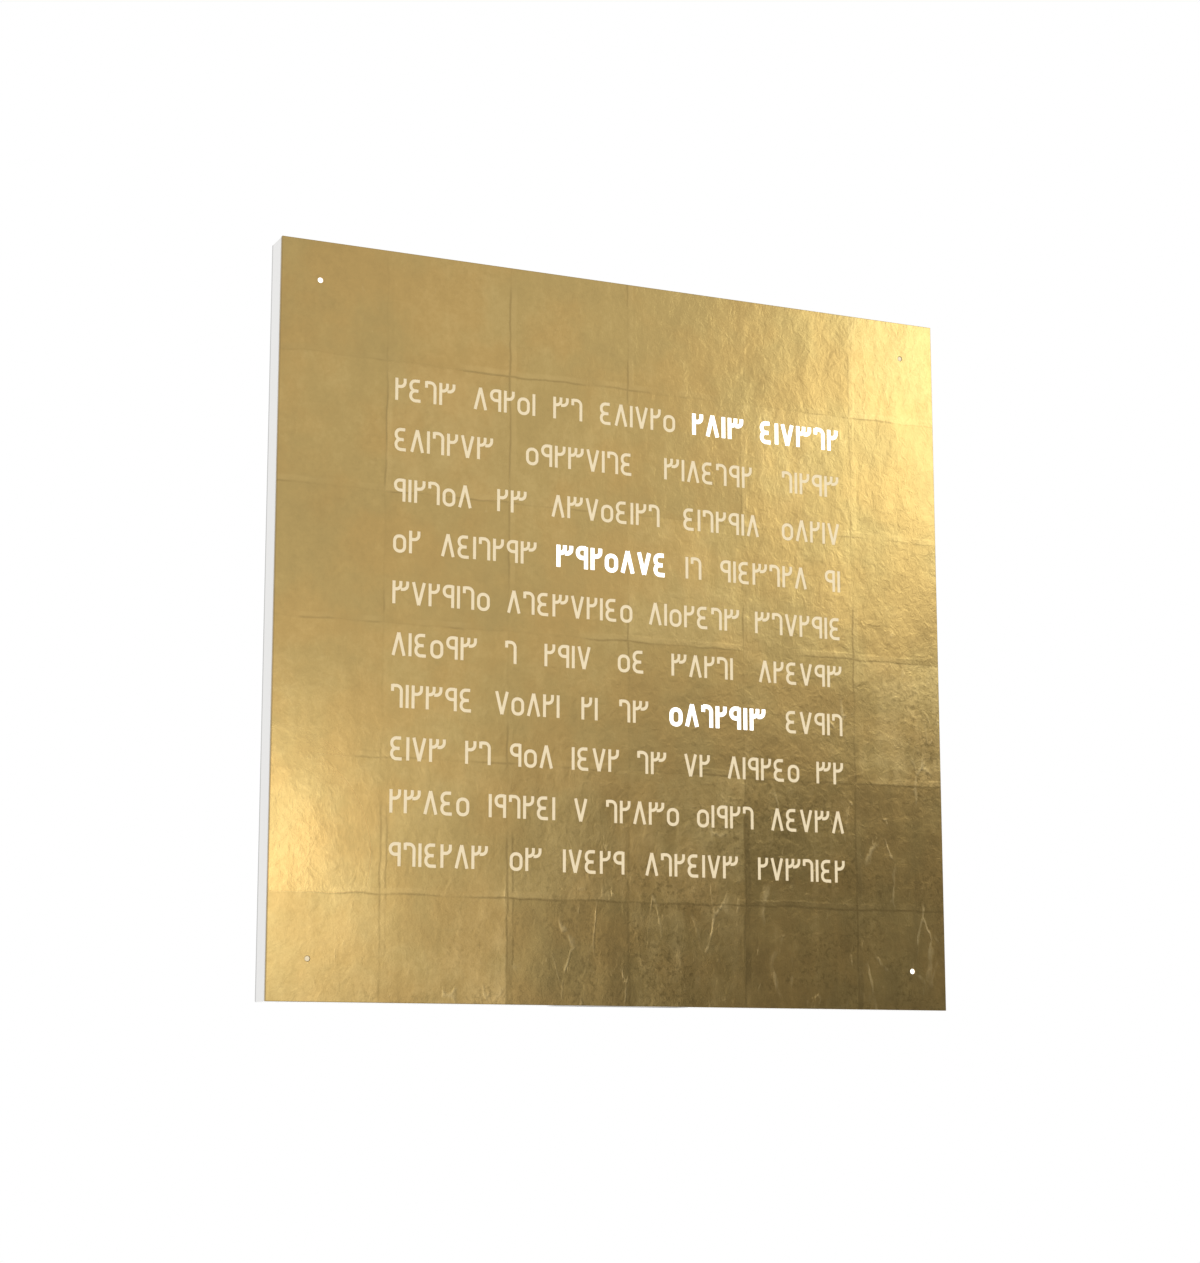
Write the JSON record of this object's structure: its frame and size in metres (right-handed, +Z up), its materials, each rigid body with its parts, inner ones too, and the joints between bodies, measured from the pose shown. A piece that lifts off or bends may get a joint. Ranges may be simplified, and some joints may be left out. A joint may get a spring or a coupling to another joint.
{
  "type": "wall clock",
  "caption": "Flat square wall clock: gilded front plate with rows of back-lit characters and corner dots on a white lacquered body.",
  "frame": {"origin": "middle of the back, on the face that lies against the wall", "axes": "+Z up, +Y into the wall, so the face looks along -Y; +X is on the right of someone who reads the clock"},
  "size_m": [0.45, 0.02, 0.45],
  "materials": {
    "gold_leaf": "gold leaf laid in 80 mm squares on steel, semi-gloss",
    "white_lacquer": "high-gloss white lacquer on fibreboard",
    "opal_plastic": "opal, satin, lit from behind",
    "white_moulding": "matt white moulding",
    "circuit_board": "solder resist",
    "led_strip": "white solder resist with white LED packages",
    "zinc_steel": "zinc plated",
    "nickel": "nickel plated",
    "cover_paint": "anodised dark grey, satin",
    "black_plastic": "fine moulded texture",
    "button_plastic": "light grey, satin gloss",
    "cable_grey": "flat cable sheath",
    "lead_sheath": "soft sheath"
  },
  "bodies": {
    "clock_body": {"backup_cell": "nickel", "cell_holder": "black_plastic", "control_board": "circuit_board", "control_panel": "black_plastic", "corner_lead_bottom_left": "lead_sheath", "corner_lead_bottom_right": "lead_sheath", "corner_lead_top_left": "lead_sheath", "corner_lead_top_right": "lead_sheath", "corner_led_board_bottom_left": "led_strip", "corner_led_board_bottom_right": "led_strip", "corner_led_board_top_left": "led_strip", "corner_led_board_top_right": "led_strip", "cover_magnet_left": "nickel", "cover_magnet_right": "nickel", "dc_jack": "black_plastic", "diffuser_sheet": "opal_plastic", "hanger_plate_left": "zinc_steel", "hanger_plate_right": "zinc_steel", "hanger_screw_left_inner": "zinc_steel", "hanger_screw_left_outer": "zinc_steel", "hanger_screw_right_inner": "zinc_steel", "hanger_screw_right_outer": "zinc_steel", "housing": "white_lacquer", "led_strip_01": "led_strip", "led_strip_02": "led_strip", "led_strip_03": "led_strip", "led_strip_04": "led_strip", "led_strip_05": "led_strip", "led_strip_06": "led_strip", "led_strip_07": "led_strip", "led_strip_08": "led_strip", "led_strip_09": "led_strip", "led_strip_10": "led_strip", "light_grid": "white_moulding", "light_sensor": "black_plastic", "matrix_board": "circuit_board", "matrix_board_screw_bottom_left": "zinc_steel", "matrix_board_screw_bottom_right": "zinc_steel", "matrix_board_screw_top_left": "zinc_steel", "matrix_board_screw_top_right": "zinc_steel", "microcontroller": "black_plastic", "minus_switch": "black_plastic", "mode_switch": "black_plastic", "plus_switch": "black_plastic", "rear_cover": "cover_paint", "rear_cover_screw_bottom_left": "zinc_steel", "rear_cover_screw_bottom_right": "zinc_steel", "rear_cover_screw_top_left": "zinc_steel", "rear_cover_screw_top_right": "zinc_steel", "ribbon_cable": "cable_grey"},
    "front_cover": {"front_plate": "gold_leaf", "dot_lens_bottom_left": "opal_plastic", "dot_lens_bottom_right": "opal_plastic", "dot_lens_top_left": "opal_plastic", "dot_lens_top_right": "opal_plastic", "locating_stud_left": "zinc_steel", "locating_stud_right": "zinc_steel"},
    "mode_button": {"mode_button": "button_plastic"},
    "minus_button": {"minus_button": "button_plastic"},
    "plus_button": {"plus_button": "button_plastic"}
  },
  "joints": [
    {"name": "front_cover_pull", "type": "slide", "parent": "clock_body", "child": "front_cover", "axis": [0, -1, 0], "range_m": [0, 0.06]},
    {"name": "mode_button_press", "type": "slide", "parent": "clock_body", "child": "mode_button", "axis": [0, 0, 1], "range_m": [0, 0.0008], "stiffness_N_per_m": 800, "springref_m": -0.0005},
    {"name": "minus_button_press", "type": "slide", "parent": "clock_body", "child": "minus_button", "axis": [0, 0, 1], "range_m": [0, 0.0008], "stiffness_N_per_m": 800, "springref_m": -0.0005},
    {"name": "plus_button_press", "type": "slide", "parent": "clock_body", "child": "plus_button", "axis": [0, 0, 1], "range_m": [0, 0.0008], "stiffness_N_per_m": 800, "springref_m": -0.0005}
  ]
}
